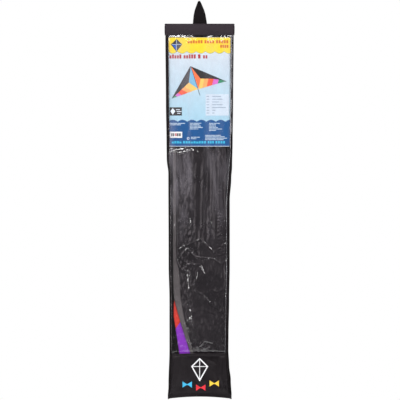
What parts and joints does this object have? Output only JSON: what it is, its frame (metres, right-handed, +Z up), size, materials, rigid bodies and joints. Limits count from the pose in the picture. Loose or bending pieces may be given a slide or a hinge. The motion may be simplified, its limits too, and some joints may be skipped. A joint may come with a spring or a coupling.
{
  "type": "packed delta kite",
  "caption": "Delta kite folded into a slim fabric sleeve with a clear window, header card and webbing hanging loop; spars and spreaders slide out through the mouth.",
  "frame": {"origin": "inside of the hanging loop's apex, where a peg carries it", "axes": "+Z up along the sleeve, +X across its width, -Y out of the clear window"},
  "size_m": [0.134, 0.0563, 0.765],
  "materials": {
    "webbing": "woven polyester webbing",
    "shell_fabric": "plain weave polyester",
    "trim_fabric": "plain weave polyester",
    "clear_film": "clear flexible film",
    "closure_tape": "hook and loop tape",
    "print_white": "screen print",
    "print_red": "screen print",
    "print_blue": "screen print",
    "print_yellow": "screen print",
    "card_print": "colour printed card",
    "label_paper": "matt label",
    "sail_black": "ripstop nylon",
    "sail_yellow": "ripstop nylon",
    "sail_orange": "ripstop nylon",
    "sail_red": "ripstop nylon",
    "sail_purple": "ripstop nylon",
    "sail_green": "ripstop nylon",
    "sail_blue": "ripstop nylon",
    "hem_fabric": "folded hem",
    "eyelet_metal": "plated eyelet",
    "ferrule_metal": "drawn tube",
    "fibreglass": "pultruded fibreglass",
    "cap_vinyl": "moulded vinyl"
  },
  "bodies": {
    "loop": {"hanging_loop": "webbing"},
    "sleeve": {"loop_tail": "webbing", "back_panel": "shell_fabric", "side_gusset_left": "shell_fabric", "side_gusset_right": "shell_fabric", "clear_window": "clear_film", "top_band": "trim_fabric", "mouth_hem": "trim_fabric", "hook_tape": "closure_tape", "loop_tape": "closure_tape", "bottom_panel": "shell_fabric", "bottom_binding": "trim_fabric", "badge_kite": "print_white", "badge_bow_red": "print_red", "badge_bow_blue": "print_blue", "badge_bow_yellow": "print_yellow"},
    "card": {"header_card": "card_print", "price_label": "label_paper"},
    "kite": {"sail_left_wing": "sail_black", "sail_center_fold": "sail_black", "sail_right_wing": "sail_black", "gore_yellow": "sail_yellow", "gore_orange": "sail_orange", "gore_red": "sail_red", "gore_purple": "sail_purple", "gore_green": "sail_green", "keel": "sail_blue", "keel_eyelets": "eyelet_metal", "leading_edge_pocket_left": "hem_fabric", "leading_edge_pocket_right": "hem_fabric", "spine_pocket": "hem_fabric", "leading_spar_left_upper": "fibreglass", "leading_spar_left_lower": "fibreglass", "leading_spar_right_upper": "fibreglass", "leading_spar_right_lower": "fibreglass", "spine_spar_upper": "fibreglass", "spine_spar_lower": "fibreglass", "spar_ferrules": "ferrule_metal", "spar_end_caps": "cap_vinyl", "spreader_socket_left": "cap_vinyl", "spreader_socket_right": "cap_vinyl"},
    "spreader_left": {"spreader_spar_left": "fibreglass", "spreader_cap_left": "cap_vinyl"},
    "spreader_right": {"spreader_spar_right": "fibreglass", "spreader_cap_right": "cap_vinyl", "spreader_ferrule": "ferrule_metal"}
  },
  "joints": [
    {"name": "sleeve_swing", "type": "hinge", "parent": "loop", "child": "sleeve", "pos_m": [0, -0.004, -0.0424], "axis": [1, 0, 0], "range_deg": [-70, 70]},
    {"name": "card_slide", "type": "slide", "parent": "sleeve", "child": "card", "axis": [0, -0.0384, 0.9993], "range_m": [0, 0.24]},
    {"name": "kite_slide", "type": "slide", "parent": "sleeve", "child": "kite", "axis": [0, -0.0384, 0.9993], "range_m": [0, 0.7]},
    {"name": "spreader_left_slide", "type": "slide", "parent": "kite", "child": "spreader_left", "axis": [0, -0.0384, 0.9993], "range_m": [0, 0.52]},
    {"name": "spreader_right_slide", "type": "slide", "parent": "kite", "child": "spreader_right", "axis": [0, -0.0384, 0.9993], "range_m": [0, 0.52]}
  ]
}
